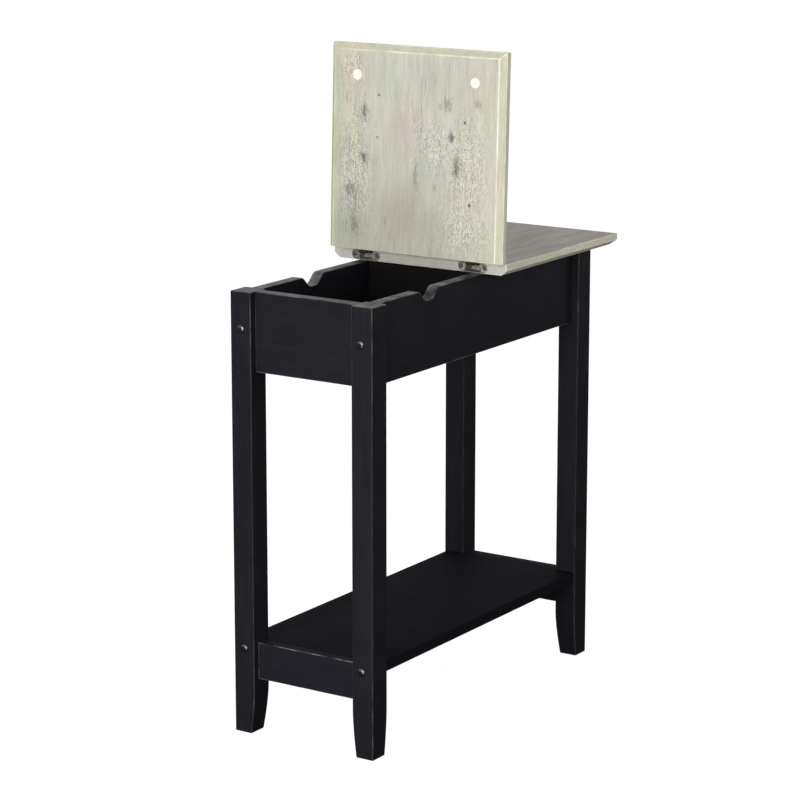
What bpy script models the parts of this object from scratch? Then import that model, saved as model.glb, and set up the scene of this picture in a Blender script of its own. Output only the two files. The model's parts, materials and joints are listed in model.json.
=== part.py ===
"""Narrow side table with a two-part top: the rear half is fixed and the front half is a lid
on two concealed hinges, standing open over a shallow storage box.

Axes: X across the width, Y along the length with the lid at the -Y end, +Z up.
Origin: on the floor, at the centre of the table's footprint box.  Metres throughout.
"""
import math

import bmesh
import bpy
from mathutils import Matrix, Vector

# ----------------------------------------------------------------------------- dimensions
GAP = 0.0003              # between pieces that touch

# base
HALF_X = 0.1106           # outer faces of the legs, across
HALF_Y = 0.2775           # outer faces of the legs, along
LEG_X, LEG_Y = 0.0320, 0.0335
TAPER_H, TAPER_IN = 0.062, 0.0055      # the two inner faces of a foot curve in by this much

# top
TOP_Z = 0.615             # upper surface
TOP_T = 0.016
TOP_HALF_X = 0.1385
TOP_REAR = 0.304          # rear edge of the fixed half
UNDERCUT_W, UNDERCUT_H = 0.0085, 0.0070
JOINT_Y = 0.0010          # front face of the fixed half
JOINT_GAP = 0.0010        # slit between the two halves, closed
LID_L = 0.280
LID_OPEN = math.radians(92.0)

# box under the top
RIM_Z = TOP_Z - TOP_T - GAP
RAIL_Z0 = 0.4920
BOARD_T = 0.016
RAIL_IN = 0.011           # rails set in from the legs' outer faces
APRON_IN = 0.010
NOTCH_Y, NOTCH_HALF, NOTCH_FLAT, NOTCH_D = -0.128, 0.027, 0.005, 0.0140
DIVIDER_Y, DIVIDER_T = 0.0035, 0.012
FLOOR_Z, FLOOR_T = 0.503, 0.005
CLEAT_W = 0.010
TOP_CLEAT = 0.016

# lower shelf and stretchers
SHELF_Z0, SHELF_Z1 = 0.1108, 0.1263
SHELF_IN = 0.004
STRETCH_Z0, STRETCH_Z1 = 0.0752, 0.1257
STRETCH_IN = 0.009
TENON_L, TENON_T = 0.010, 0.010

# bolts and cross dowels
BOLT_X = 0.0935
BOLT_Z_UP, BOLT_Z_LOW = 0.5495, 0.1175
BOLT_R, BOLT_HOLE_R = 0.0030, 0.0033
HEAD_R, HEAD_H = 0.0055, 0.0026
BOLT_IN = 0.040           # shank length past the leg
NUT_R, NUT_OFF = 0.0050, 0.030

# hinges
HINGE_X = 0.086
PIVOT_UP = 0.0005         # axis of the lid, above the upper surface
PLATE_L, PLATE_H, PLATE_T = 0.0460, 0.0138, 0.0022
CUP_X, CUP_D, CUP_WALL = 0.0120, 0.0140, 0.0007
PIN_IN, PIN_DOWN = 0.0050, 0.0044      # leaf pin: behind the face, below the lid's axis
LINK_R = 0.009265          # leaf pin to centre pin
LINK_REST = math.radians(176.45)       # direction of the fixed side's link with the lid open
LEAF_PIN_R, LEAF_PIN_HOLE = 0.0007, 0.0010
KNUCKLE_R, NOSE_R = 0.0016, 0.0012
CENTRE_PIN_R, CENTRE_HOLE_R, CENTRE_EYE_R = 0.00055, 0.00130, 0.00185
SCREW_X = 0.0185

# bumpers
BUMP_X, BUMP_S, BUMP_R, BUMP_T, BUMP_SINK = 0.0935, 0.238, 0.0075, 0.0019, 0.0010

# the footprint box runs from the front bolt heads to the top's rear edge
FRONT = -(HALF_Y + GAP + HEAD_H)
SHIFT_Y = -(TOP_REAR + FRONT) / 2

# ----------------------------------------------------------------------------- clean scene
for old in list(bpy.data.objects):
    bpy.data.objects.remove(old, do_unlink=True)

scene = bpy.context.scene
coll = scene.collection


def material(name, rgb, rough, metal=0.0):
    m = bpy.data.materials.new(name)
    m.use_nodes = True
    b = m.node_tree.nodes["Principled BSDF"]
    b.inputs["Base Color"].default_value = (*rgb, 1)
    b.inputs["Roughness"].default_value = rough
    b.inputs["Metallic"].default_value = metal
    m.diffuse_color = (*rgb, 1)
    return m


M_TOP = material("grey_oak_top", (0.52, 0.50, 0.43), 0.55)
M_BLACK = material("black_lacquer", (0.018, 0.018, 0.021), 0.36)
M_INNER = material("black_inner", (0.015, 0.014, 0.014), 0.6)
M_HINGE = material("hinge_bronze", (0.09, 0.08, 0.07), 0.4, 1.0)
M_LINK = material("hinge_links", (0.06, 0.06, 0.06), 0.35, 1.0)
M_SCREW = material("screw_steel", (0.35, 0.34, 0.32), 0.3, 1.0)
M_BOLT = material("black_bolt", (0.05, 0.05, 0.055), 0.3, 1.0)
M_NUT = material("zinc_nut", (0.5, 0.5, 0.5), 0.35, 1.0)
M_BUMP = material("white_bumper", (0.86, 0.85, 0.8), 0.5)


# ----------------------------------------------------------------------------- helpers
def empty(name, loc, parent=None, rot_x=0.0):
    e = bpy.data.objects.new(name, None)
    coll.objects.link(e)
    e.location = loc
    e.rotation_euler = (rot_x, 0, 0)
    e.parent = parent
    return e


def new_object(name, bm, mat, parent=None, smooth=None):
    """Mesh object whose origin is moved to the middle of its own box."""
    bmesh.ops.recalc_face_normals(bm, faces=bm.faces)
    me = bpy.data.meshes.new(name)
    bm.to_mesh(me)
    bm.free()
    ob = bpy.data.objects.new(name, me)
    coll.objects.link(ob)
    ob.parent = parent
    centre_origin(ob)
    if mat is not None:
        me.materials.append(mat)
    if smooth is not None:
        me.shade_smooth()
        me.set_sharp_from_angle(angle=math.radians(smooth))
    return ob


def centre_origin(ob):
    co = [v.co for v in ob.data.vertices]
    mid = Vector([(min(c[i] for c in co) + max(c[i] for c in co)) / 2 for i in range(3)])
    ob.data.transform(Matrix.Translation(-mid))
    ob.location = ob.location + mid


def bm_box(lo, hi):
    bm = bmesh.new()
    bmesh.ops.create_cube(bm, size=1.0)
    lo, hi = Vector(lo), Vector(hi)
    size, mid = hi - lo, (hi + lo) / 2
    bmesh.ops.transform(bm, matrix=Matrix.Translation(mid) @ Matrix.Diagonal((*size, 1)), verts=bm.verts)
    return bm


def bm_prism(outline, axis, a, b):
    """Outline of 2-D points pushed along an axis: x takes (y, z), y takes (x, z), z takes (x, y)."""
    bm = bmesh.new()

    def place(p, t):
        return {"x": (t, p[0], p[1]), "y": (p[0], t, p[1]), "z": (p[0], p[1], t)}[axis]

    first = bm.faces.new([bm.verts.new(place(p, a)) for p in outline])
    out = bmesh.ops.extrude_face_region(bm, geom=[first])
    moved = [g for g in out["geom"] if isinstance(g, bmesh.types.BMVert)]
    step = Vector(place((0, 0), b)) - Vector(place((0, 0), a))
    bmesh.ops.translate(bm, vec=step, verts=moved)
    return bm


def bm_cyl(centre, axis, r, length, seg=20, r2=None):
    """Cylinder, or a cone from r to r2, that starts at centre and runs along the axis."""
    bm = bmesh.new()
    bmesh.ops.create_cone(bm, cap_ends=True, segments=seg, radius1=r, radius2=r if r2 is None else r2, depth=length)
    turn = {
        "+z": Matrix.Identity(4), "-z": Matrix.Rotation(math.pi, 4, "X"),
        "+x": Matrix.Rotation(math.pi / 2, 4, "Y"), "-x": Matrix.Rotation(-math.pi / 2, 4, "Y"),
        "+y": Matrix.Rotation(-math.pi / 2, 4, "X"), "-y": Matrix.Rotation(math.pi / 2, 4, "X"),
    }[axis]
    m = Matrix.Translation(Vector(centre)) @ turn @ Matrix.Translation((0, 0, length / 2))
    bmesh.ops.transform(bm, matrix=m, verts=bm.verts)
    return bm


def bm_turned(centre, axis, prof, seg=20):
    """Solid of revolution from (distance along the axis, radius) rows; axis is y or z."""
    bm = bmesh.new()
    c = Vector(centre)
    rings = []
    for d, r in prof:
        ring = []
        for i in range(seg):
            t = 2 * math.pi * i / seg
            off = (r * math.cos(t), r * math.sin(t), d) if axis == "z" else (r * math.cos(t), d, r * math.sin(t))
            ring.append(bm.verts.new(c + Vector(off)))
        rings.append(ring)
    for a, b in zip(rings, rings[1:]):
        for i in range(seg):
            j = (i + 1) % seg
            bm.faces.new((a[i], a[j], b[j], b[i]))
    bm.faces.new(rings[0])
    bm.faces.new(rings[-1])
    bmesh.ops.recalc_face_normals(bm, faces=bm.faces)
    return bm


def soften(bm, width, segments=2, edges=None):
    edges = list(bm.edges) if edges is None else edges
    bmesh.ops.recalc_face_normals(bm, faces=bm.faces)
    bmesh.ops.bevel(bm, geom=edges, offset=width, segments=segments, profile=0.5, affect="EDGES", clamp_overlap=True)
    return bm


def combine(bm, tools, kind):
    """Boolean of a bmesh with a list of others, one modifier for each, applied at once."""
    bmesh.ops.recalc_face_normals(bm, faces=bm.faces)
    me = bpy.data.meshes.new("body")
    bm.to_mesh(me)
    bm.free()
    ob = bpy.data.objects.new("body", me)
    coll.objects.link(ob)
    helpers = []
    for i, tool in enumerate(tools):
        bmesh.ops.recalc_face_normals(tool, faces=tool.faces)
        tm = bpy.data.meshes.new("tool")
        tool.to_mesh(tm)
        tool.free()
        t = bpy.data.objects.new("tool", tm)
        t.hide_render = True
        t.display_type = "WIRE"
        coll.objects.link(t)
        mod = ob.modifiers.new("op%d" % i, "BOOLEAN")
        mod.operation = kind
        mod.solver = "EXACT"
        mod.object = t
        helpers.append(t)
    bpy.context.view_layer.update()
    depsgraph = bpy.context.evaluated_depsgraph_get()
    done = bmesh.new()
    done.from_mesh(ob.evaluated_get(depsgraph).to_mesh())
    for h in helpers + [ob]:
        bpy.data.objects.remove(h, do_unlink=True)
    bmesh.ops.remove_doubles(done, verts=done.verts, dist=0.000002)
    bmesh.ops.dissolve_limit(done, angle_limit=math.radians(0.05), verts=done.verts, edges=done.edges)
    return done


def minus(bm, tools):
    return combine(bm, tools, "DIFFERENCE")


def plus(bm, tools):
    return combine(bm, tools, "UNION")


def stadium(half_l, r, n=8):
    """Round-ended plate outline, long way along its first axis."""
    pts = []
    for i in range(n + 1):
        t = -math.pi / 2 + math.pi * i / n
        pts.append((half_l - r + r * math.cos(t), r * math.sin(t)))
    for i in range(n + 1):
        t = math.pi / 2 + math.pi * i / n
        pts.append((-half_l + r + r * math.cos(t), r * math.sin(t)))
    return pts


root = empty("table_frame", (0, SHIFT_Y, 0))

SIDES = (("left", -1), ("right", 1))
ENDS = (("front", -1), ("rear", 1))


# ----------------------------------------------------------------------------- legs
def leg(name, sx, sy):
    """Square leg. Its outer faces are plumb; the foot's two inner faces curve in."""
    bm = bmesh.new()
    levels = [0.0, 0.007, 0.016, 0.027, 0.040, TAPER_H, RIM_Z]
    rings = []
    for z in levels:
        cut = TAPER_IN * max(0.0, 1 - z / TAPER_H) ** 1.5
        xo, xi = sx * HALF_X, sx * (HALF_X - LEG_X + cut)
        yo, yi = sy * HALF_Y, sy * (HALF_Y - LEG_Y + cut)
        rings.append([bm.verts.new(p) for p in ((xo, yo, z), (xi, yo, z), (xi, yi, z), (xo, yi, z))])
    for a, b in zip(rings, rings[1:]):
        for i in range(4):
            j = (i + 1) % 4
            bm.faces.new((a[i], a[j], b[j], b[i]))
    bm.faces.new(rings[0])
    bm.faces.new(rings[-1])
    bmesh.ops.recalc_face_normals(bm, faces=bm.faces)
    keep = [e for e in bm.edges
            if not (abs(e.verts[0].co.z - e.verts[1].co.z) < 1e-6 and 1e-4 < e.verts[0].co.z < RIM_Z - 1e-4)]
    soften(bm, 0.0010, 1, keep)
    tools = []
    for z in (BOLT_Z_UP, BOLT_Z_LOW):
        start = (sx * BOLT_X, sy * (HALF_Y + 0.01), z)
        tools.append(bm_cyl(start, "-y" if sy > 0 else "+y", BOLT_HOLE_R, LEG_Y + 0.02, 12))
    xs = sorted((sx * (HALF_X - LEG_X - 0.002), sx * (HALF_X - LEG_X + TENON_L + GAP)))
    for inset, z0, z1 in ((APRON_IN, RAIL_Z0 + 0.014, RIM_Z - 0.014), (STRETCH_IN, STRETCH_Z0 + 0.008, STRETCH_Z1 - 0.008)):
        mid = HALF_Y - inset - BOARD_T / 2
        ys = sorted((sy * (mid - TENON_T / 2 - GAP), sy * (mid + TENON_T / 2 + GAP)))
        tools.append(bm_box((xs[0], ys[0], z0 - GAP), (xs[1], ys[1], z1 + GAP)))
    return new_object(name, minus(bm, tools), M_BLACK, root, 25)


for en, sy in ENDS:
    for sn, sx in SIDES:
        leg("leg_%s_%s" % (en, sn), sx, sy)


# ----------------------------------------------------------------------------- rails with finger notches
def notch_outline(y0, y1):
    """Side view of a rail: a rectangle with a bell-shaped dip in its upper edge."""
    pts = [(y0, RAIL_Z0), (y1, RAIL_Z0), (y1, RIM_Z)]
    n = 10
    for i in range(n + 1):                       # up the far flank, read from the rear
        t = i / n
        y = NOTCH_Y + NOTCH_HALF - (NOTCH_HALF - NOTCH_FLAT) * t
        pts.append((y, RIM_Z - NOTCH_D * 0.5 * (1 - math.cos(math.pi * t))))
    for i in range(n + 1):
        t = i / n
        y = NOTCH_Y - NOTCH_FLAT - (NOTCH_HALF - NOTCH_FLAT) * t
        pts.append((y, RIM_Z - NOTCH_D * 0.5 * (1 + math.cos(math.pi * t))))
    pts.append((y0, RIM_Z))
    return pts


def rail(name, sx):
    y_end = HALF_Y - LEG_Y - GAP
    x_out = HALF_X - RAIL_IN
    xs = sorted((sx * x_out, sx * (x_out - BOARD_T)))
    bm = bm_prism(notch_outline(-y_end, y_end), "x", xs[0], xs[1])
    bmesh.ops.recalc_face_normals(bm, faces=bm.faces)
    rim = [e for e in bm.edges if abs(e.verts[0].co.x - e.verts[1].co.x) < 1e-6]
    soften(bm, 0.0010, 1, rim)
    tools = []
    for sy in (-1, 1):
        tools.append(bm_cyl((sx * BOLT_X, sy * (y_end + 0.002), BOLT_Z_UP), "-y" if sy > 0 else "+y", BOLT_HOLE_R, BOLT_IN + 0.006, 12))
        inner = sx * (x_out - BOARD_T - 0.002)
        tools.append(bm_cyl((inner, sy * (y_end - NUT_OFF), BOLT_Z_UP), "+x" if sx > 0 else "-x", NUT_R + GAP, BOARD_T + 0.002 - 0.0012, 16))
    return new_object(name, minus(bm, tools), M_BLACK, root, 25)


for sn, sx in SIDES:
    rail("side_rail_" + sn, sx)


# ----------------------------------------------------------------------------- aprons and stretchers, tenoned at both ends
def crosspiece(name, sy, inset, z0, z1, tz0, tz1):
    x_end = HALF_X - LEG_X - GAP
    y_out = HALF_Y - inset
    ys = sorted((sy * y_out, sy * (y_out - BOARD_T)))
    bm = soften(bm_box((-x_end, ys[0], z0), (x_end, ys[1], z1)), 0.0010, 2)
    mid = y_out - BOARD_T / 2
    ty = sorted((sy * (mid - TENON_T / 2), sy * (mid + TENON_T / 2)))
    tenon = bm_box((-x_end - TENON_L + GAP, ty[0], tz0), (x_end + TENON_L - GAP, ty[1], tz1))
    return new_object(name, plus(bm, [tenon]), M_BLACK, root, 25)


for en, sy in ENDS:
    crosspiece("apron_" + en, sy, APRON_IN, RAIL_Z0, RIM_Z, RAIL_Z0 + 0.014, RIM_Z - 0.014)
    crosspiece("stretcher_" + en, sy, STRETCH_IN, STRETCH_Z0, STRETCH_Z1, STRETCH_Z0 + 0.008, STRETCH_Z1 - 0.008)

# ----------------------------------------------------------------------------- lower shelf
xw, yw = HALF_X - SHELF_IN, HALF_Y - LEG_Y - GAP
xt, yt = HALF_X - LEG_X - GAP, HALF_Y - STRETCH_IN - BOARD_T - GAP
shelf_outline = [(-xw, -yw), (-xt, -yw), (-xt, -yt), (xt, -yt), (xt, -yw), (xw, -yw),
                 (xw, yw), (xt, yw), (xt, yt), (-xt, yt), (-xt, yw), (-xw, yw)]
bm = bm_prism(shelf_outline, "z", SHELF_Z0, SHELF_Z1)
long_edges = [e for e in bm.edges if abs(abs(e.verts[0].co.x) - xw) < 1e-6 and abs(abs(e.verts[1].co.x) - xw) < 1e-6
              and abs(e.verts[0].co.z - e.verts[1].co.z) < 1e-6 and abs(e.verts[0].co.y - e.verts[1].co.y) > 0.1]
soften(bm, 0.0012, 2, long_edges)
tools = []
for sx in (-1, 1):
    for sy in (-1, 1):
        tools.append(bm_cyl((sx * BOLT_X, sy * (yw + 0.002), BOLT_Z_LOW), "-y" if sy > 0 else "+y", BOLT_HOLE_R, BOLT_IN + 0.006, 12))
        tools.append(bm_cyl((sx * BOLT_X, sy * (yw - NUT_OFF), SHELF_Z0 - 0.002), "+z", NUT_R + GAP, SHELF_Z1 - SHELF_Z0 + 0.002 - 0.0014, 16))
new_object("shelf", minus(bm, tools), M_BLACK, root, 25)

# ----------------------------------------------------------------------------- storage box: divider, bottom panel, cleats
x_in = HALF_X - RAIL_IN - BOARD_T - GAP
new_object("box_divider", soften(bm_box((-x_in, DIVIDER_Y, RAIL_Z0), (x_in, DIVIDER_Y + DIVIDER_T, RIM_Z)), 0.0008, 1), M_INNER, root)
y_apron = -(HALF_Y - APRON_IN - BOARD_T - GAP)
y_leg = -(HALF_Y - LEG_Y - GAP)
x_leg = HALF_X - LEG_X - GAP
panel = [(-x_leg, y_apron), (x_leg, y_apron), (x_leg, y_leg), (x_in, y_leg), (x_in, DIVIDER_Y - GAP),
         (-x_in, DIVIDER_Y - GAP), (-x_in, y_leg), (-x_leg, y_leg)]
new_object("box_floor", bm_prism(panel, "z", FLOOR_Z, FLOOR_Z + FLOOR_T), M_INNER, root)
for sn, sx in SIDES:
    xs = sorted((sx * x_in, sx * (x_in - CLEAT_W)))
    new_object("floor_cleat_" + sn, bm_box((xs[0], y_leg + 0.006, RAIL_Z0 + 0.001), (xs[1], DIVIDER_Y - 0.006, FLOOR_Z - GAP)), M_INNER, root)

# ----------------------------------------------------------------------------- top cleats and their screws
CLEAT_Y0, CLEAT_Y1 = 0.022, 0.234
CLEAT_SCREWS = (0.062, 0.196)
for sn, sx in SIDES:
    xs = sorted((sx * x_in, sx * (x_in - TOP_CLEAT)))
    bm = bm_box((xs[0], CLEAT_Y0, RIM_Z - TOP_CLEAT), (xs[1], CLEAT_Y1, RIM_Z))
    xm = sum(xs) / 2
    bm = minus(bm, [bm_cyl((xm, y, RIM_Z - TOP_CLEAT - 0.002), "+z", 0.0020, TOP_CLEAT + 0.004, 12) for y in CLEAT_SCREWS])
    new_object("top_cleat_" + sn, bm, M_INNER, root, 25)
    for k, y in enumerate(CLEAT_SCREWS):
        z0 = RIM_Z - TOP_CLEAT - GAP
        shank = bm_cyl((xm, y, z0 - 0.0005), "+z", 0.0016, 0.0240, 12)
        head = bm_cyl((xm, y, z0 - 0.0022), "+z", 0.0036, 0.0022, 12)
        new_object("cleat_screw_%s_%d" % (sn, k + 1), plus(head, [shank]), M_SCREW, root, 30)

# ----------------------------------------------------------------------------- bolts and cross dowels
for en, sy in ENDS:
    for sn, sx in SIDES:
        for lv, z in (("upper", BOLT_Z_UP), ("lower", BOLT_Z_LOW)):
            out, inn = ("+y", "-y") if sy > 0 else ("-y", "+y")
            face = sy * (HALF_Y + GAP)
            # shank with a small lead-in, then a low button head with a hex socket
            shank = LEG_Y + GAP + BOLT_IN
            prof = [(-shank, BOLT_R - 0.0006), (-shank + 0.0006, BOLT_R), (0, BOLT_R), (0, HEAD_R),
                    (0.0009, HEAD_R), (0.0019, 0.0045), (HEAD_H, 0.0026)]
            bm = bm_turned((sx * BOLT_X, face, z), "y", [(sy * d, r) for d, r in prof], 16)
            socket = bm_cyl((sx * BOLT_X, face + sy * (HEAD_H + 0.001), z), inn, 0.0019, 0.0026, 6)
            new_object("bolt_%s_%s_%s" % (en, sn, lv), minus(bm, [socket]), M_BOLT, root, 35)
            # cross dowel: a short bar with the bolt's bore through it
            y_end = HALF_Y - LEG_Y - GAP
            yc = sy * (y_end - NUT_OFF)
            if lv == "upper":
                start = (sx * (HALF_X - RAIL_IN - BOARD_T + GAP), yc, z)
                bar = bm_cyl(start, "+x" if sx > 0 else "-x", NUT_R, BOARD_T - 0.0012 - 2 * GAP, 16)
            else:
                bar = bm_cyl((sx * BOLT_X, yc, SHELF_Z0 + GAP), "+z", NUT_R, SHELF_Z1 - SHELF_Z0 - 0.0014 - 2 * GAP, 16)
            bore = bm_cyl((sx * BOLT_X, yc - 0.008, z), "+y", BOLT_HOLE_R, 0.016, 12)
            new_object("cross_dowel_%s_%s_%s" % (en, sn, lv), minus(bar, [bore]), M_NUT, root, 35)

# ----------------------------------------------------------------------------- the two halves of the top
V_Y, V_Z = JOINT_Y - JOINT_GAP / 2, TOP_Z + PIVOT_UP      # the lid's axis
MID_Z = -PIVOT_UP - TOP_T / 2                             # middle of the board, below the axis


def board(y_joint, y_far, drop=0.0):
    """Board whose three free edges are undercut below. Heights are counted from the lid's axis."""
    s = 1 if y_far > y_joint else -1
    z_top, z_mid, z_low = -PIVOT_UP, -PIVOT_UP - (TOP_T - UNDERCUT_H), -PIVOT_UP - TOP_T
    w = UNDERCUT_W
    bm = bmesh.new()
    rows = []
    for z, i in ((z_top, 0.0), (z_mid, 0.0), (z_low, w)):
        x = TOP_HALF_X - i
        yf = y_far - s * i
        rows.append([bm.verts.new(p) for p in ((-x, y_joint, z), (x, y_joint, z), (x, yf, z), (-x, yf, z))])
    for a, b in zip(rows, rows[1:]):
        for i in range(4):
            j = (i + 1) % 4
            bm.faces.new((a[i], a[j], b[j], b[i]))
    bm.faces.new(rows[0])
    bm.faces.new(rows[-1])
    bmesh.ops.recalc_face_normals(bm, faces=bm.faces)
    return soften(bm, 0.0007, 1)


def hinge_pocket(x, y_face, s):
    """Mortise for one leaf: round-ended plate, deep middle and two pilot holes. s points into the wood."""
    e = 0.004
    plate = bm_prism([(x + p, MID_Z + q) for p, q in stadium(PLATE_L / 2 + GAP, PLATE_H / 2 + GAP, 8)], "y",
                     y_face - s * e, y_face + s * (PLATE_T + GAP))
    ys = sorted((y_face - s * e, y_face + s * (CUP_D + GAP)))
    cup = bm_box((x - CUP_X - GAP, ys[0], MID_Z - PLATE_H / 2 - GAP), (x + CUP_X + GAP, ys[1], MID_Z + PLATE_H / 2 + GAP))
    tools = [plate, cup]
    for k in (-1, 1):
        tools.append(bm_cyl((x + k * SCREW_X, y_face - s * e, MID_Z), "+y" if s > 0 else "-y", 0.0017, e + 0.0150, 12))
    return tools


# fixed half, counted from the axis like the lid
axis_fixed = empty("lid_axis_fixed", (0, V_Y, V_Z), root)
half = JOINT_GAP / 2
tools = []
for sn, sx in SIDES:
    tools += hinge_pocket(sx * HINGE_X, half, 1)
    xm = sx * (x_in - TOP_CLEAT / 2)
    for y in CLEAT_SCREWS:
        tools.append(bm_cyl((xm, y - V_Y, TOP_Z - TOP_T - 0.002 - V_Z), "+z", 0.0019, 0.002 + 0.0095, 12))
new_object("fixed_top", minus(board(half, TOP_REAR - V_Y), tools), M_TOP, axis_fixed, 20)

# lid, modelled shut and turned open about its axis
axis_lid = empty("lid_axis", (0, V_Y, V_Z), root, -LID_OPEN)
tools = []
for sn, sx in SIDES:
    tools += hinge_pocket(sx * HINGE_X, -half, -1)
    tools.append(bm_cyl((sx * BUMP_X, -half - BUMP_S, -PIVOT_UP - TOP_T - 0.002), "+z", BUMP_R + GAP, 0.002 + BUMP_SINK, 24))
new_object("lid", minus(board(-half, -half - LID_L), tools), M_TOP, axis_lid, 20)

for sn, sx in SIDES:
    z_top = -PIVOT_UP - TOP_T + BUMP_SINK - GAP
    prof = [(0, BUMP_R), (-(BUMP_T - 0.0005), BUMP_R), (-BUMP_T, BUMP_R - 0.0010)]
    bm = bm_turned((sx * BUMP_X, -half - BUMP_S, z_top), "z", prof, 24)
    new_object("bumper_" + sn, bm, M_BUMP, axis_lid, 30)


# ----------------------------------------------------------------------------- concealed hinges
def leaf(name, x, s, parent):
    """Round-ended face plate with a cup behind it and a pin across the cup. s points into the wood."""
    y0 = s * half
    zc = MID_Z
    bm = bm_prism([(x + p, zc + q) for p, q in stadium(PLATE_L / 2, PLATE_H / 2, 8)], "y", y0, y0 + s * PLATE_T)
    ys = sorted((y0 + s * 0.0005, y0 + s * CUP_D))
    bm = plus(bm, [bm_box((x - CUP_X, ys[0], zc - PLATE_H / 2), (x + CUP_X, ys[1], zc + PLATE_H / 2))])
    ys = sorted((y0 - s * 0.001, y0 + s * (CUP_D - 0.0012)))
    tools = [bm_box((x - CUP_X + 0.0015, ys[0], zc - PLATE_H / 2 + CUP_WALL), (x + CUP_X - 0.0015, ys[1], zc + PLATE_H / 2 - CUP_WALL))]
    into = "+y" if s > 0 else "-y"
    for k in (-1, 1):
        xs = x + k * SCREW_X
        tools.append(bm_cyl((xs, y0 - s * 0.001, zc), into, 0.0034, 0.001 + 0.0013, 16))
        tools.append(bm_cyl((xs, y0 - s * 0.001, zc), into, 0.0018, 0.006, 12))
    bm = minus(bm, tools)
    pin = bm_cyl((x - CUP_X + 0.0008, s * PIN_IN, -PIN_DOWN), "+x", LEAF_PIN_R, 2 * CUP_X - 0.0016, 12)
    return new_object(name, plus(bm, [pin]), M_HINGE, parent, 30)


def leaf_screw(name, x, s, parent):
    y0 = s * half
    into = "+y" if s > 0 else "-y"
    head = bm_cyl((x, y0 + s * 0.0001, MID_Z), into, 0.0031, 0.0009, 16)
    bm = plus(head, [bm_cyl((x, y0 + s * 0.0006, MID_Z), into, 0.0014, 0.0125, 12)])
    ys = sorted((y0 - s * 0.001, y0 + s * 0.0006))
    bm = minus(bm, [bm_box((x - 0.0004, ys[0], MID_Z - 0.004), (x + 0.0004, ys[1], MID_Z + 0.004))])
    return new_object(name, bm, M_SCREW, parent, 30)


def polar(r, t):
    return Vector((r * math.cos(t), r * math.sin(t)))


def mirrored(p):
    """Reflection of a side-view point in the plane halfway between the two boards, through the axis."""
    u = Vector((-math.sin(LID_OPEN / 2), -math.cos(LID_OPEN / 2)))
    return u * (2 * u.dot(p)) - p


PIN_FIXED = Vector((PIN_IN, -PIN_DOWN))
EYE_FIXED = PIN_FIXED + polar(LINK_R, LINK_REST)
PIN_LID = mirrored(PIN_FIXED)
EYE_LID = mirrored(EYE_FIXED)


def arm(a, b, ra, rb, x0, x1, n=8):
    """Bar with a round eye at each end, from a to b in side view, between two X planes."""
    d = b - a
    t0 = math.atan2(d.y, d.x)
    pts = []
    for i in range(n + 1):
        p = b + polar(rb, t0 - math.pi / 2 + math.pi * i / n)
        pts.append((p.x, p.y))
    for i in range(n + 1):
        p = a + polar(ra, t0 + math.pi / 2 + math.pi * i / n)
        pts.append((p.x, p.y))
    return bm_prism(pts, "x", x0, x1)


def drum(p, r, x0, x1, seg=16):
    return bm_cyl((x0, p.x, p.y), "+x", r, x1 - x0, seg)


W = 0.0092                # half width of a link set
for sn, sx in SIDES:
    x = sx * HINGE_X
    leaf("hinge_leaf_fixed_" + sn, x, 1, axis_fixed)
    leaf("hinge_leaf_lid_" + sn, x, -1, axis_lid)
    for k, kn in ((-1, "a"), (1, "b")):
        leaf_screw("hinge_screw_fixed_%s_%s" % (sn, kn), x + k * SCREW_X, 1, axis_fixed)
        leaf_screw("hinge_screw_lid_%s_%s" % (sn, kn), x + k * SCREW_X, -1, axis_lid)

links_fixed = empty("links_axis_fixed", (0, V_Y + PIN_FIXED.x, V_Z + PIN_FIXED.y), root)
links_lid = empty("links_axis_lid", (0, V_Y + PIN_LID.x, V_Z + PIN_LID.y), root)
for sn, sx in SIDES:
    x = sx * HINGE_X
    zero, e = Vector((0.0, 0.0)), EYE_FIXED - PIN_FIXED
    bm = arm(zero, e, KNUCKLE_R, NOSE_R, x - W, x - 0.0052)
    bm = plus(bm, [arm(zero, e, KNUCKLE_R, NOSE_R, x + 0.0052, x + W), drum(zero, KNUCKLE_R - 0.00005, x - W + 0.001, x + W - 0.001),
                   drum(e, CENTRE_PIN_R, x - W + 0.001, x + W - 0.001, 12)])
    bm = minus(bm, [drum(zero, LEAF_PIN_HOLE, x - W - 0.001, x + W + 0.001, 12)])
    new_object("link_fixed_" + sn, bm, M_LINK, links_fixed, 30)
    e = EYE_LID - PIN_LID
    bm = arm(zero, e, KNUCKLE_R, CENTRE_EYE_R, x - 0.0048, x + 0.0048)
    bm = plus(bm, [drum(zero, KNUCKLE_R - 0.00005, x - W, x + W)])
    bm = minus(bm, [drum(zero, LEAF_PIN_HOLE, x - W - 0.001, x + W + 0.001, 12), drum(e, CENTRE_HOLE_R, x - 0.006, x + 0.006)])
    new_object("link_lid_" + sn, bm, M_LINK, links_lid, 30)

bpy.context.view_layer.update()
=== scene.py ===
import json
import math

import bmesh
import bpy
from mathutils import Matrix, Vector


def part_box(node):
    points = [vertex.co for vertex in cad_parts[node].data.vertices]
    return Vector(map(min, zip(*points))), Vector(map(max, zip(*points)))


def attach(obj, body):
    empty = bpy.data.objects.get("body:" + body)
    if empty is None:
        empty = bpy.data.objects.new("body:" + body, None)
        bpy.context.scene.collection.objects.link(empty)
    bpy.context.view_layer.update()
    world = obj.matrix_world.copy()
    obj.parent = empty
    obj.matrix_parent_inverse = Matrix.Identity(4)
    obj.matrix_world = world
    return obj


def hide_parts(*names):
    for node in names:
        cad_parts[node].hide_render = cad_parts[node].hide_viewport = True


# A narrow side table: a black painted frame with a shallow box under the top, a fixed rear half
# of the top, and a lid in front of it on two concealed hinges. Lengths are in metres. The grain
# of both halves of the top runs along Y when the lid is shut.

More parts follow.
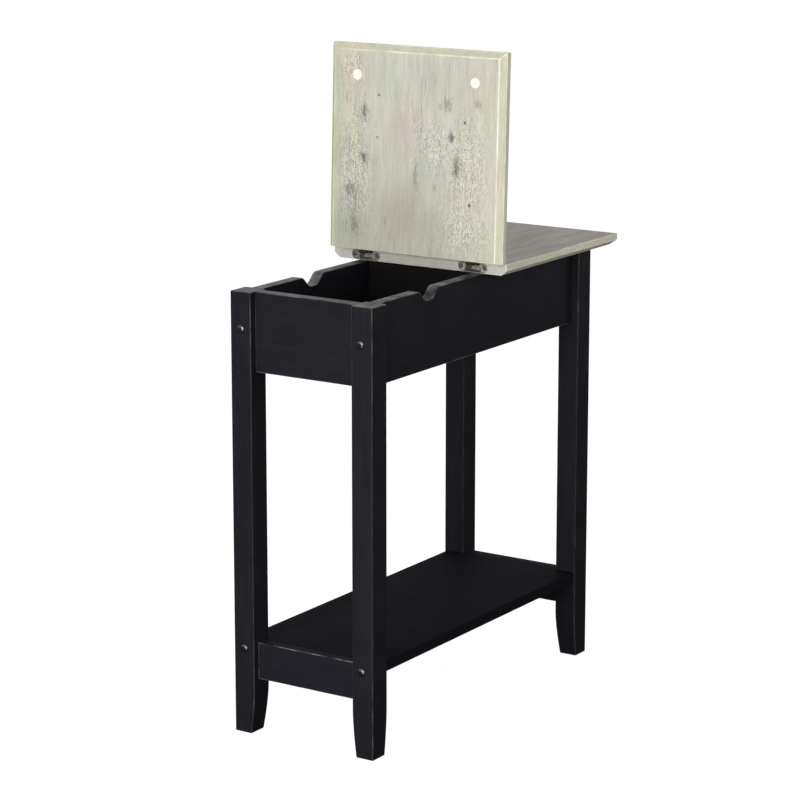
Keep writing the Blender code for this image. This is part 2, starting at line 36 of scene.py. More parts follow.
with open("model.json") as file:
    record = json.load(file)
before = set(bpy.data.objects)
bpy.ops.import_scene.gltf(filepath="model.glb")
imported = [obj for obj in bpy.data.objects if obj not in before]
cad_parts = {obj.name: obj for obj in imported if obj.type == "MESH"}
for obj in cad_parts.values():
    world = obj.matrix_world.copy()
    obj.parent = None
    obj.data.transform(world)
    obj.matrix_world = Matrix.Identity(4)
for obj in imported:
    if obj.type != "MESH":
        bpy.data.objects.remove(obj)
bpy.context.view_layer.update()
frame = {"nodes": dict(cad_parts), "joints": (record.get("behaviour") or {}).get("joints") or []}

SIDES = (("left", -1), ("right", 1))
ENDS = (("front", -1), ("rear", 1))
LEG_FRONT, LEG_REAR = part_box("leg_front_right"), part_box("leg_rear_right")

# The top is built about the hinge axis, with the lid shut, and each half is then put in place.
AXIS = Vector(next(j["pos_m"] for j in frame["joints"] if j["name"] == "lid_hinge"))
OPEN = math.radians(92.0)
TO_AXIS = Matrix.Translation(AXIS)
SHUT_TO_OPEN = TO_AXIS @ Matrix.Rotation(-OPEN, 4, "X")
LID_TURN = SHUT_TO_OPEN.to_3x3()

FLOAT, COLOUR, VECTOR = "NodeSocketFloat", "NodeSocketColor", "NodeSocketVector"
SURFACE = {"Colour": COLOUR, "Roughness": FLOAT, "Height": FLOAT}


# ---------------- short words for node trees
class Wiring:
    """Builds one node tree."""

    def __init__(self, tree):
        self.tree = tree

    def feed(self, socket, value):
        """Links another socket to this one, or sets its value."""
        if isinstance(value, bpy.types.NodeSocket):
            self.tree.links.new(value, socket)
        else:
            socket.default_value = value

    def put(self, kind, values=None, **settings):
        """Adds a node, with its settings and what goes into its sockets."""
        made = self.tree.nodes.new(kind)
        for name, value in settings.items():
            setattr(made, name, value)
        for key, value in (values or {}).items():
            self.feed(made.inputs[key], value)
        return made

    def chain(self, operation, first, *others, clamp=False):
        """Works through any number of values, two at a time, and may clamp the result."""
        for k, other in enumerate(others, 1):
            first = self.put("ShaderNodeMath", {0: first, 1: other}, operation=operation,
                             use_clamp=clamp and k == len(others)).outputs[0]
        return first

    def plus(self, *terms, clamp=False):
        return self.chain("ADD", *terms, clamp=clamp)

    def times(self, *factors, clamp=False):
        return self.chain("MULTIPLY", *factors, clamp=clamp)

    def minus(self, a, b, clamp=False):
        return self.chain("SUBTRACT", a, b, clamp=clamp)

    def greatest(self, *values):
        return self.chain("MAXIMUM", *values)

    def absolute(self, value):
        return self.put("ShaderNodeMath", {0: value}, operation="ABSOLUTE").outputs[0]

    def swing(self, field, by):
        """A field's rise and fall about its middle."""
        return self.times(self.minus(field, 0.5), by)

    def stretch(self, vector, by):
        return self.put("ShaderNodeVectorMath", {0: vector, 1: by}, operation="MULTIPLY").outputs[0]

    def shift(self, vector, by):
        return self.put("ShaderNodeVectorMath", {0: vector, 1: by}, operation="ADD").outputs[0]

    def xyz(self, x=0.0, y=0.0, z=0.0):
        return self.put("ShaderNodeCombineXYZ", {0: x, 1: y, 2: z}).outputs[0]

    def cloud(self, vector, scale, detail, rough, distortion=0.0):
        return self.put("ShaderNodeTexNoise", {
            "Vector": vector, "Scale": scale, "Detail": detail, "Roughness": rough,
            "Distortion": distortion}).outputs[0]

    def drawn_out(self, vector, scales, detail, rough, moved=None):
        """Noise with a scale for each axis, moved aside so that it differs from its neighbours."""
        at = self.stretch(vector, scales)
        return self.cloud(at if moved is None else self.shift(at, moved), 1.0, detail, rough)

    def between(self, value, low, high, out_low=0.0, out_high=1.0):
        """Smooth step of value from low to high."""
        return self.put("ShaderNodeMapRange", {0: value, 1: low, 2: high, 3: out_low, 4: out_high},
                        interpolation_type="SMOOTHSTEP", clamp=True).outputs[0]

    def tint(self, share, a, b, how="MIX"):
        return self.put("ShaderNodeMix", {0: share, 6: a, 7: b}, data_type="RGBA",
                        blend_type=how, clamp_factor=True).outputs[2]

    def stain(self, share, colour, by):
        """Multiplies a colour by another, as far as the share says."""
        return self.tint(share, colour, by, "MULTIPLY")


class Effect(Wiring):
    """A node group with named inputs and outputs, made once and used wherever it is needed.
    An input is given as its first value, or as a kind of socket where it has none."""

    def __init__(self, name, inputs, outputs, kind="ShaderNodeTree"):
        super().__init__(bpy.data.node_groups.new(name, kind))
        for label, value in inputs.items():
            if isinstance(value, str):
                self.socket(label, "INPUT", value)
            elif isinstance(value, tuple):
                wanted = COLOUR if len(value) == 4 else VECTOR
                self.socket(label, "INPUT", wanted).default_value = value
            else:
                wanted = "NodeSocketInt" if isinstance(value, int) else FLOAT
                self.socket(label, "INPUT", wanted).default_value = value
        for label, wanted in outputs.items():
            self.socket(label, "OUTPUT", wanted)
        self.given = self.tree.nodes.new("NodeGroupInput").outputs
        self.out = self.tree.nodes.new("NodeGroupOutput").inputs

    def socket(self, label, way, kind):
        return self.tree.interface.new_socket(name=label, in_out=way, socket_type=kind)

    def done(self, **results):
        for label, value in results.items():
            self.feed(self.out[label], value)
        return self.tree


# ---------------- effects shared by the finishes
def edge_rub():
    """Where an arris is marked, the colour turns towards a lighter one: wear through to what is
    under it, and a painted highlight along the edge.
    """
    w = Effect("edge_rub", {"Vector": VECTOR, "Edge": 0.0, "Colour": (0.1, 0.1, 0.1, 1),
                            "Wear And Highlight": (0.2, 0.2, 0.2, 1), "Amount": 0.5, "Patchiness": 60.0},
               {"Colour": COLOUR, "Mask": FLOAT})
    i = w.given
    patch = w.between(w.cloud(i["Vector"], i["Patchiness"], detail=3.0, rough=0.6), 0.30, 0.72)
    mask = w.times(i["Edge"], i["Amount"], patch, clamp=True)
    return w.done(Colour=w.tint(mask, i["Colour"], i["Wear And Highlight"]), Mask=mask)


def paint_film():
    """Sprayed paint over timber: faint grain that shows through, fine orange peel, handling marks
    and specks of dust."""
    w = Effect("paint_film", {"Vector": VECTOR, "Grain": (300.0, 300.0, 12.0),
                              "Paint": (0.01, 0.01, 0.012, 1), "Sheen": 0.42,
                              "Grain Depth": 0.5, "Dust": 0.1}, SURFACE)
    i = w.given
    grain = w.drawn_out(i["Vector"], i["Grain"], detail=3.0, rough=0.55)
    peel = w.cloud(i["Vector"], scale=720.0, detail=1.0, rough=0.4)
    marks = w.cloud(i["Vector"], scale=17.0, detail=4.0, rough=0.62, distortion=0.6)
    specks = w.between(w.cloud(i["Vector"], scale=1900.0, detail=1.0, rough=0.5), 0.70, 0.80)
    lighter = w.stain(1.0, i["Paint"], (1.22, 1.21, 1.20, 1))
    colour = w.tint(w.between(grain, 0.35, 0.75), i["Paint"], lighter)
    dust = w.times(specks, i["Dust"], w.between(marks, 0.45, 0.75))
    rough = w.plus(i["Sheen"], w.swing(marks, 0.22), w.swing(grain, 0.12), w.times(dust, 0.5),
                   clamp=True)
    return w.done(Colour=w.tint(dust, colour, (0.16, 0.155, 0.15, 1)), Roughness=rough,
                  Height=w.plus(w.times(grain, i["Grain Depth"]), w.times(peel, 0.35)))


def print_patch():
    """One soft-edged, ragged patch of the print: 1 at its centre, 0 outside its reach, which is 1
    over its half width and half length."""
    w = Effect("print_patch", {"Vector": VECTOR, "Centre": (0, 0, 0), "Reach": (100.0, 50.0, 0.0),
                               "Ragged": 0.3, "Softness": 0.7}, {"Mask": FLOAT})
    i = w.given
    away = w.put("ShaderNodeVectorMath", {0: i["Vector"], 1: i["Centre"]}, operation="SUBTRACT")
    away = w.stretch(away.outputs[0], i["Reach"])
    distance = w.put("ShaderNodeVectorMath", {0: away}, operation="LENGTH").outputs["Value"]
    tear = w.drawn_out(i["Vector"], (520, 150, 520), detail=4.0, rough=0.75)
    distance = w.plus(distance, w.swing(tear, w.times(i["Ragged"], 2.0)))
    return w.done(Mask=w.between(distance, 1.0, w.minus(1.0, i["Softness"])))


def weathered_boards():
    """Weathered greige boards with their grain along Y: tinted patches, streaks, fibre, flecked
    zones, hairline checks and odd marks."""
    w = Effect("weathered_boards", {
        "Vector": VECTOR, "Base": (0.5, 0.49, 0.42, 1), "Olive": (0.46, 0.48, 0.35, 1),
        "Rose": (0.53, 0.475, 0.44, 1), "Slate": (0.41, 0.43, 0.42, 1),
        "Dark": (0.10, 0.09, 0.075, 1), "Tints": 0.8, "Streaks": 1.0, "Flecks": 1.0,
        "Fleck Zone": 0.0, "Marks": 0.8}, SURFACE)
    i = w.given
    wander = w.put("ShaderNodeTexNoise", {"Vector": w.stretch(i["Vector"], (16, 6, 16)),
                                          "Scale": 1.0, "Detail": 1.0}).outputs["Color"]
    place = w.shift(i["Vector"], w.stretch(wander, (0.012, 0.0, 0.012)))

    colour = i["Base"]
    for name, scales, moved, low, high, share in (
            ("Olive", (15, 8, 15), (0.0, 0.0, 0.0), 0.43, 0.58, 0.9),
            ("Rose", (16, 9, 16), (4.1, 7.3, 1.0), 0.47, 0.62, 0.9),
            ("Slate", (26, 10, 26), (9.7, 2.9, 3.0), 0.54, 0.72, 0.7)):
        patches = w.between(w.drawn_out(place, scales, 3.0, 0.6, moved), low, high)
        colour = w.tint(w.times(patches, i["Tints"], share), colour, i[name])

    streak = w.drawn_out(place, (75, 9, 75), detail=3.0, rough=0.62)
    fibre = w.drawn_out(place, (430, 30, 430), detail=2.5, rough=0.65)
    tone = w.times(w.plus(w.swing(streak, 0.46), w.swing(fibre, 0.62)), i["Streaks"])

    zone = w.between(w.drawn_out(place, (15, 7, 15), 3.0, 0.6, (2.2, 5.1, 8.0)), 0.50, 0.66)
    zone = w.greatest(zone, i["Fleck Zone"])
    fleck = w.drawn_out(i["Vector"], (900, 620, 900), detail=1.0, rough=0.5)
    dash = w.drawn_out(i["Vector"], (620, 150, 620), 1.5, 0.6, (3.0, 9.0, 1.0))
    sharp = w.between(w.plus(w.times(fleck, 0.55), w.times(dash, 0.45)), 0.40, 0.60, -1.0, 1.0)
    flecks = w.times(sharp, zone, i["Flecks"], 0.34)
    shade = w.plus(1.0, tone, flecks)
    grey = w.put("ShaderNodeCombineColor", {0: shade, 1: shade, 2: shade}).outputs[0]
    colour = w.stain(1.0, colour, grey)

    # hairline checks along the grain, and dark ragged blots here and there
    check = w.drawn_out(place, (150, 5.0, 150), detail=2.0, rough=0.5)
    thin = w.between(w.absolute(w.minus(check, 0.52)), 0.014, 0.0)
    cracked = w.between(w.drawn_out(place, (30, 16, 30), 2.0, 0.5, (6.0, 1.0, 2.0)), 0.55, 0.66)
    blot = w.between(w.drawn_out(place, (95, 30, 95), 4.0, 0.72, (1.7, 8.2, 3.1)), 0.66, 0.80)
    blotted = w.between(w.drawn_out(place, (20, 13, 20), 1.0, 0.5, (5.5, 3.2, 6.1)), 0.50, 0.62)
    marks = w.greatest(w.times(thin, cracked, 0.55), w.times(blot, blotted, i["Marks"]))

    height = w.plus(w.times(fibre, 0.6), w.times(streak, 0.5), w.times(flecks, 0.8))
    return w.done(
        Colour=w.tint(marks, colour, i["Dark"]),
        Roughness=w.plus(0.52, w.swing(fibre, 0.25), w.times(flecks, 0.2), clamp=True),
        Height=w.minus(height, marks))


def small_metal():
    """Small hardware: turning lines one way, and a bloom of tarnish."""
    w = Effect("small_metal", {"Vector": VECTOR, "Lines": (300.0, 3500.0, 3500.0),
                               "Metal": (0.1, 0.09, 0.08, 1), "Tarnish": (0.03, 0.025, 0.02, 1),
                               "Tarnish Share": 0.5, "Polish": 0.35}, SURFACE)
    i = w.given
    lines = w.drawn_out(i["Vector"], i["Lines"], detail=2.0, rough=0.6)
    bloom = w.cloud(i["Vector"], scale=420.0, detail=4.0, rough=0.65)
    share = w.times(w.between(bloom, 0.40, 0.68), i["Tarnish Share"])
    return w.done(
        Colour=w.tint(share, i["Metal"], i["Tarnish"]),
        Roughness=w.plus(i["Polish"], w.swing(lines, 0.25), w.times(share, 0.35), clamp=True),
        Height=w.plus(lines, w.times(bloom, 0.6)))


EDGE_WEAR_AND_HIGHLIGHT, PAINT, PATCH = edge_rub(), paint_film(), print_patch()
BOARDS, METAL = weathered_boards(), small_metal()


# ---------------- finishes
class Finish(Wiring):
    """A material, with its shader and the coordinates of the object it is on."""

    def __init__(self, name, specular=0.5, metallic=0.0):
        self.material = bpy.data.materials.new(name)
        self.material.use_nodes = True
        super().__init__(self.material.node_tree)
        self.tree.nodes.clear()
        self.shader = self.put("ShaderNodeBsdfPrincipled",
                               {"Metallic": metallic, "Specular IOR Level": specular})
        self.put("ShaderNodeOutputMaterial", {"Surface": self.shader.outputs[0]})
        self.place = self.put("ShaderNodeTexCoord").outputs["Object"]

    def use(self, effect, values):
        return self.put("ShaderNodeGroup", values, node_tree=effect).outputs

    def marked(self, attribute):
        return self.put("ShaderNodeAttribute", attribute_name=attribute).outputs["Fac"]

    def with_wear_and_highlight(self, colour, wear_and_highlight_colour, amount, patchiness):
        """The colour with wear and a painted highlight on its arrises, and a mask of where they
        are.
        """
        return self.use(EDGE_WEAR_AND_HIGHLIGHT, {
            "Vector": self.place, "Edge": self.marked("arris"), "Colour": colour,
            "Wear And Highlight": wear_and_highlight_colour, "Amount": amount, "Patchiness": patchiness})

    def cover(self, colour, roughness, height, depth, strength):
        """Feeds the shader, with relief so many metres deep, and gives back the material."""
        bump = self.put("ShaderNodeBump", {"Height": height, "Strength": strength,
                                           "Distance": depth}).outputs[0]
        for label, value in (("Base Color", colour), ("Roughness", roughness), ("Normal", bump)):
            self.feed(self.shader.inputs[label], value)
        return self.material


SATIN_BLACK = (0.0079, 0.0073, 0.0108, 1)
PAINT_WEAR_AND_HIGHLIGHT = (0.25, 0.246, 0.25, 1)
BOARD_WEAR_AND_HIGHLIGHT = (0.82, 0.80, 0.66, 1)


def painted(name, grain, paint=SATIN_BLACK, sheen=0.40, specular=0.22, wear_and_highlight_amount=0.8, depth=0.2):
    """Black paint whose faint grain follows the board it is on."""
    f = Finish(name, specular)
    film = f.use(PAINT, {"Vector": f.place, "Grain": grain, "Paint": paint, "Sheen": sheen,
                         "Grain Depth": depth, "Dust": 0.12})
    # The arrises, and the rims and notch marked with them, turn grey: paint wear and a painted
    # highlight.
    wear_and_highlight = f.with_wear_and_highlight(film["Colour"], PAINT_WEAR_AND_HIGHLIGHT, wear_and_highlight_amount, patchiness=38.0)
    rough = f.minus(film["Roughness"], f.times(wear_and_highlight["Mask"], 0.12))
    return f.cover(wear_and_highlight["Colour"], rough, film["Height"], depth=0.00003, strength=0.6)


# Tints of the lid's underside, as they lie on plain board.
PLAIN, TINT_STRENGTH = (0.50, 0.49, 0.42), 0.8
OLIVE, ROSE, SLATE = (0.41, 0.45, 0.28), (0.505, 0.44, 0.375), (0.41, 0.43, 0.39)
CREAM, MOSS, SHADED = (0.60, 0.575, 0.47), (0.45, 0.48, 0.39), (0.38, 0.37, 0.315)
# across, from the hinge, half width, half length, tint, share
UNDERSIDE_TINTS = (
    (-0.132, 0.150, 0.024, 0.190, OLIVE, 0.80),
    (-0.104, 0.238, 0.040, 0.044, ROSE, 0.90),
    (-0.035, 0.238, 0.044, 0.058, MOSS, 0.85),
    (0.022, 0.244, 0.030, 0.034, SLATE, 0.85),
    (0.098, 0.228, 0.042, 0.058, ROSE, 0.60),
    (-0.100, 0.150, 0.038, 0.070, OLIVE, 0.40),
    (-0.015, 0.168, 0.036, 0.060, ROSE, 0.75),
    (0.012, 0.130, 0.026, 0.090, SLATE, 0.50),
    (-0.020, 0.058, 0.055, 0.052, ROSE, 0.85),
    (-0.020, 0.055, 0.060, 0.055, SHADED, 0.60),
    (-0.100, 0.040, 0.050, 0.070, MOSS, 0.80),
    (-0.100, 0.030, 0.060, 0.070, SHADED, 0.90),
    (0.122, 0.120, 0.022, 0.160, CREAM, 0.25),
    (0.085, 0.045, 0.055, 0.065, CREAM, 0.35))
# knots and nicks: across, from the hinge, half width, half length, ragged, share
UNDERSIDE_MARKS = (
    (-0.0815, 0.188, 0.0048, 0.0125, 1.60, 0.85),
    (-0.0810, 0.126, 0.0050, 0.0085, 1.60, 0.80),
    (0.0670, 0.124, 0.0046, 0.0160, 1.60, 0.70),
    (-0.0815, 0.186, 0.0110, 0.0200, 2.20, 0.30),
    (-0.0800, 0.126, 0.0110, 0.0130, 2.20, 0.30),
    (0.0670, 0.126, 0.0110, 0.0210, 2.20, 0.30),
    (-0.0580, 0.213, 0.0024, 0.0028, 0.30, 0.95),
    (-0.0595, 0.156, 0.0020, 0.0025, 0.30, 0.85),
    (0.0790, 0.185, 0.0028, 0.0032, 0.40, 0.90),
    (0.0590, 0.164, 0.0050, 0.0095, 2.20, 0.80),
    (0.0888, 0.0756, 0.0034, 0.0036, 0.60, 0.90),
    (-0.1010, 0.083, 0.0120, 0.0130, 2.40, 0.50),
    (0.0500, 0.206, 0.0100, 0.0120, 2.60, 0.42),
    (0.0990, 0.212, 0.0080, 0.0080, 2.40, 0.35),
    (0.0030, 0.104, 0.0050, 0.0190, 2.00, 0.34),
    (-0.0950, 0.036, 0.0110, 0.0150, 2.40, 0.40),
    (0.0330, 0.096, 0.0050, 0.0080, 2.00, 0.35))
# flecked zones: across, from the hinge, half width, half length
UNDERSIDE_FLECKS = (
    (0.085, 0.125, 0.054, 0.120), (0.080, 0.040, 0.070, 0.062), (-0.095, 0.110, 0.046, 0.150),
    (-0.100, 0.245, 0.034, 0.044), (0.030, 0.150, 0.050, 0.060))
UNDERSIDE_Z = -0.0165                                # below the axis, with the lid shut


def boards(name, origin, turn, underside=False):
    """The top's boards, counted from the hinge axis with the lid shut, so that the print runs on
    from one half to the other. The lid's underside has knots, flecks and tints of its own."""
    f = Finish(name, specular=0.30)
    shut = f.put("ShaderNodeMapping", {"Vector": f.place, "Location": origin,
                                       "Rotation": (turn, 0, 0)}).outputs[0]
    along, depth = f.put("ShaderNodeSeparateXYZ", {0: shut}).outputs[1:3]
    upper = f.between(depth, -0.0014, -0.0009)
    below = f.between(depth, -0.0085, -0.0092)
    joint = f.between(f.absolute(along), 0.0030, 0.0022)
    edge_face = f.minus(1.0, f.plus(upper, below, joint), clamp=True)
    other_sheet = f.put("ShaderNodeVectorMath", {0: (0.37, 0.21, 0.0), "Scale": upper},
                        operation="SCALE").outputs[0]

    def patch(x, along, wide, long, ragged, softness, share):
        mask = f.use(PATCH, {"Vector": shut, "Centre": (x, -along, UNDERSIDE_Z),
                             "Reach": (1 / wide, 1 / long, 0.0),
                             "Ragged": ragged, "Softness": softness})["Mask"]
        return f.times(mask, f.times(below, share))

    def on_upper(least, more):
        """A value for the underside and edges, and more of it on the upper face."""
        return f.plus(least, f.times(upper, more))

    zone, flecks = 0.0, 0.4
    if underside:
        for x, along, wide, long in UNDERSIDE_FLECKS:
            zone = f.greatest(patch(x, along, wide, long, ragged=0.5, softness=0.8, share=1.0),
                              zone)
        flecks = f.plus(0.30, f.times(zone, 0.70))
    wood = f.use(BOARDS, {
        "Vector": f.shift(shut, other_sheet), "Base": (0.478, 0.468, 0.402, 1),
        "Olive": f.tint(upper, (0.46, 0.48, 0.35, 1), (0.46, 0.465, 0.33, 1)),
        "Rose": f.tint(upper, (0.53, 0.475, 0.44, 1), (0.51, 0.45, 0.455, 1)),
        "Fleck Zone": zone, "Flecks": flecks, "Tints": on_upper(0.35, 0.65),
        "Marks": on_upper(0.15, 0.6), "Streaks": on_upper(0.8, 1.3)})
    colour, height = wood["Colour"], wood["Height"]
    if underside:
        for x, along, wide, long, shade, share in UNDERSIDE_TINTS:
            by = tuple(c / b for c, b in zip(shade, PLAIN)) + (1,)
            colour = f.stain(patch(x, along, wide, long, ragged=0.55, softness=0.95,
                                   share=share * TINT_STRENGTH), colour, by)
        dents = f.greatest(*(patch(x, along, wide, long, ragged, softness=0.75, share=share)
                             for x, along, wide, long, ragged, share in UNDERSIDE_MARKS))
        colour = f.tint(dents, colour, (0.075, 0.068, 0.058, 1))
        height = f.minus(height, dents)
    colour = f.stain(upper, colour, (0.54, 0.53, 0.53, 1))
    colour = f.stain(joint, colour, (1.0, 0.99, 1.07, 1))
    colour = f.stain(edge_face, colour,
                     (1.16, 1.15, 0.98, 1) if underside else (1.20, 1.18, 1.06, 1))
    # The sloping faces under the free edges get painted light: lighter on the lid, where the light
    # falls on them, and darker on the fixed half, painted shade where they face down.
    colour = f.stain(f.marked("undercut"), colour,
                     (1.12, 1.13, 0.98, 1) if underside else (0.66, 0.65, 0.62, 1))
    # The arrises turn cream: wear and a painted highlight along the edges of the boards.
    wear_and_highlight = f.with_wear_and_highlight(colour, BOARD_WEAR_AND_HIGHLIGHT, amount=1.0, patchiness=26.0)
    return f.cover(wear_and_highlight["Colour"], wood["Roughness"], height, depth=0.00012, strength=0.7)


def hardware(name, metal, tarnish, share, polish, lines=(300.0, 3500.0, 3500.0)):
    """Dull metal whose arrises are handled bright."""
    f = Finish(name, metallic=1.0)
    skin = f.use(METAL, {"Vector": f.place, "Lines": lines, "Metal": metal + (1,),
                         "Tarnish": tarnish + (1,), "Tarnish Share": share, "Polish": polish})
    bright = tuple(min(1.0, 2.2 * c) for c in metal) + (1,)
    wear_and_highlight = f.with_wear_and_highlight(skin["Colour"], bright, amount=0.8, patchiness=300.0)
    return f.cover(wear_and_highlight["Colour"], skin["Roughness"], skin["Height"], depth=0.00002, strength=0.5)


def soft_white(name):
    """Felt-like off-white bumper stock with fine pores and a trace of grime."""
    f = Finish(name, specular=0.3)
    pores = f.cloud(f.place, scale=2600.0, detail=2.0, rough=0.6)
    grime = f.between(f.cloud(f.place, scale=260.0, detail=3.0, rough=0.6), 0.52, 0.80)
    clean = f.tint(f.between(pores, 0.3, 0.7), (0.78, 0.765, 0.66, 1), (0.86, 0.845, 0.75, 1))
    colour = f.tint(f.times(grime, 0.35), clean, (0.72, 0.69, 0.58, 1))
    rough = f.between(pores, 0.2, 0.8, 0.55, 0.75)
    return f.cover(colour, rough, pores, depth=0.00004, strength=0.5)


FINE, LONG = 300.0, 12.0                             # scale of the grain across and along it
UPRIGHT, LENGTHWAYS, CROSSWAYS = (FINE, FINE, LONG), (FINE, LONG, FINE), (LONG, FINE, FINE)
# How far each finish's arrises turn grey is paint wear and a painted highlight along the edges.
BLACK_UP = painted("satin_black_legs", UPRIGHT, wear_and_highlight_amount=0.5)
BLACK_LONG = painted("satin_black_rails", LENGTHWAYS)
BLACK_ACROSS = painted("satin_black_ends", CROSSWAYS, wear_and_highlight_amount=0.6)
# The stretchers' paint is lighter than the satin black, painted sheen in place of reflection they
# lose to their low specular; their arrises get the full painted highlight.
BLACK_STRETCHER = painted("matt_black_stretchers", CROSSWAYS, (0.0108, 0.0102, 0.0140, 1),
                          sheen=0.62, specular=0.02, wear_and_highlight_amount=1.0)
# The shelf's paint is darker than the frame's satin black: painted shade under the box.
BLACK_SHELF = painted("matt_black_shelf", LENGTHWAYS, (0.0062, 0.0057, 0.0082, 1),
                      sheen=0.66, specular=0.015)
# The box's own flat black, darkened further as painted shade inside the box.
BLACK_INNER = painted("flat_black_box", LENGTHWAYS, (0.0048, 0.0042, 0.0040, 1),
                      sheen=0.66, specular=0.06, wear_and_highlight_amount=0.4, depth=0.8)
TOP_FIXED = boards("greige_boards_fixed_half", -AXIS, 0.0)
TOP_LID = boards("greige_boards_lid", -(Matrix.Rotation(OPEN, 3, "X") @ AXIS), OPEN, True)
TURNED = (1800.0, 1800.0, 1800.0)
BRONZE = hardware("dulled_bronze_hinge", (0.42, 0.40, 0.35), (0.06, 0.052, 0.044), 0.75, 0.46)
LINKS = hardware("dark_links", (0.10, 0.095, 0.09), (0.02, 0.018, 0.017), 0.6, 0.34,
                 (3500.0, 400.0, 400.0))
STEEL = hardware("dulled_steel_screw", (0.11, 0.105, 0.095), (0.035, 0.031, 0.028), 0.8, 0.40,
                 TURNED)
BLACK_BOLT = hardware("black_oxide_bolt", (0.10, 0.10, 0.105), (0.02, 0.02, 0.022), 0.6, 0.28,
                      TURNED)
ZINC = hardware("zinc_dowel", (0.62, 0.62, 0.60), (0.30, 0.29, 0.27), 0.5, 0.38)
BUMPER = soft_white("off_white_bumper")


# ---------------- mesh helpers
TINY = 1e-5
SHARP, SQUARE = math.radians(20), math.radians(45)   # least angle of an edge that is rounded
SMOOTH_BOARD, SMOOTH_METAL = 40.0, 32.0              # degrees up to which shading runs on
# How far each upper rim is painted lighter, a painted highlight along the rim.
RIM_HIGHLIGHT = {"leg_front_right": 0.9, "side_rail_right": 0.65, "side_rail_left": 0.35,
            "apron_front": 0.25, "apron_rear": 0.25}
LEG_RIM_HIGHLIGHT, NOTCH_HIGHLIGHT = 0.3, 0.8


def skinned(rings):
    """A closed shell through rings of points, with a cap at each end."""
    bm = bmesh.new()
    rows = [[bm.verts.new(p) for p in ring] for ring in rings]
    for a, b in zip(rows, rows[1:]):
        for k in range(len(a)):
            j = (k + 1) % len(a)
            bm.faces.new((a[k], a[j], b[j], b[k]))
    bm.faces.new(rows[0])
    bm.faces.new(rows[-1])
    bmesh.ops.recalc_face_normals(bm, faces=bm.faces)
    return bm


def prism(outline, axis, low, high):
    """A closed outline swept along one axis. The outline's numbers are the other two, in order."""
    at = "xyz".index(axis)
    return skinned([[p[:at] + (a,) + p[at:] for p in outline] for a in (low, high)])


def block(low, high):
    """A box between two corners."""
    outline = [(low[0], low[1]), (high[0], low[1]), (high[0], high[1]), (low[0], high[1])]
    return prism(outline, "z", low[2], high[2])


def rod(start, end, radius, sides=32):
    """A round bar between two points, for cutting a hole."""
    start, end = Vector(start), Vector(end)
    bm = bmesh.new()
    bmesh.ops.create_cone(bm, cap_ends=True, segments=sides, radius1=radius, radius2=radius,
                          depth=(end - start).length)
    turn = (end - start).to_track_quat("Z", "Y").to_matrix().to_4x4()
    bmesh.ops.transform(bm, matrix=Matrix.Translation((start + end) / 2) @ turn, verts=bm.verts)
    return bm


def eased(bm, width, steps=3, edges=None):
    """Rounds the sharp edges, or the ones given."""
    if edges is None:
        edges = [e for e in bm.edges
                 if len(e.link_faces) == 2 and e.calc_face_angle() > SHARP]
    bmesh.ops.bevel(bm, geom=edges, offset=width, segments=steps, profile=0.5, affect="EDGES",
                    clamp_overlap=False)
    return bm


def to_object(name, bm):
    mesh = bpy.data.meshes.new(name)
    bm.to_mesh(mesh)
    bm.free()
    made = bpy.data.objects.new(name, mesh)
    bpy.context.scene.collection.objects.link(made)
    return made


def applied(made):
    """Turns the object and its modifiers into one plain mesh."""
    bpy.context.view_layer.update()
    graph = bpy.context.evaluated_depsgraph_get()
    mesh = bpy.data.meshes.new_from_object(made.evaluated_get(graph))
    made.modifiers.clear()
    old = made.data
    made.data = mesh
    mesh.name = made.name
    bpy.data.meshes.remove(old)
    return made


def less(made, cutters):
    """Cuts holes and recesses out of the object."""
    for bm in cutters:
        cutter = to_object("cutter", bm)
        cut = made.modifiers.new("cut", "BOOLEAN")
        cut.operation, cut.solver, cut.object = "DIFFERENCE", "EXACT", cutter
        applied(made)
        bpy.data.objects.remove(cutter)
    return made


def mark_arrises(made, widest=0.0009):
    """Stores 1 in the middle of a rounded edge, where every face round a vertex is narrow."""
    bm = bmesh.new()
    bm.from_mesh(made.data)
    narrow = {f.index: f.calc_area() / max(e.calc_length() for e in f.edges) < widest
              for f in bm.faces}
    values = [float(bool(v.link_faces) and all(narrow[f.index] for f in v.link_faces))
              for v in bm.verts]
    bm.free()
    made.data.attributes.new("arris", "FLOAT", "POINT").data.foreach_set("value", values)


def settle(made, material, smooth_below=SMOOTH_BOARD):
    """Material, soft shading across rounded edges, and the arris mark."""
    made.data.materials.clear()
    made.data.materials.append(material)
    made.data.shade_smooth()
    made.data.set_sharp_from_angle(angle=math.radians(smooth_below))
    even = made.modifiers.new("even", "WEIGHTED_NORMAL")
    even.mode, even.weight, even.keep_sharp = "FACE_AREA", 60, True
    applied(made)
    mark_arrises(made)
    return made


def each_wear_and_highlight(made):
    """Every vertex's place, and how far its wear and painted highlight go, which can be changed."""
    return zip((v.co for v in made.data.vertices), made.data.attributes["arris"].data)


def paint_rim_highlight(made, share):
    """Paints the upper rim lighter all over, a painted highlight."""
    top = max(v.co.z for v in made.data.vertices)
    for at, wear_and_highlight in each_wear_and_highlight(made):
        if at.z > top - TINY:
            wear_and_highlight.value = max(share, wear_and_highlight.value)


def stands_for(made, body, slot, *nodes):
    """Puts the piece on what it rides on, and hides the solids that it is shown instead of. Its
    finish, slot, is not used.
    """
    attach(made, body)
    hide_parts(*nodes)


# ---------------- legs
FOOT_H, FOOT_IN = 0.062, 0.0055                      # height of the curve, and how far it comes in
FOOT_STEPS, STEP_SPREAD, FOOT_BEND = 12, 1.15, 1.5
RINGS_ABOVE = [0.2, 0.4]                             # where wear and painted highlight are reckoned above the foot
LEG_ARRIS = 0.0013


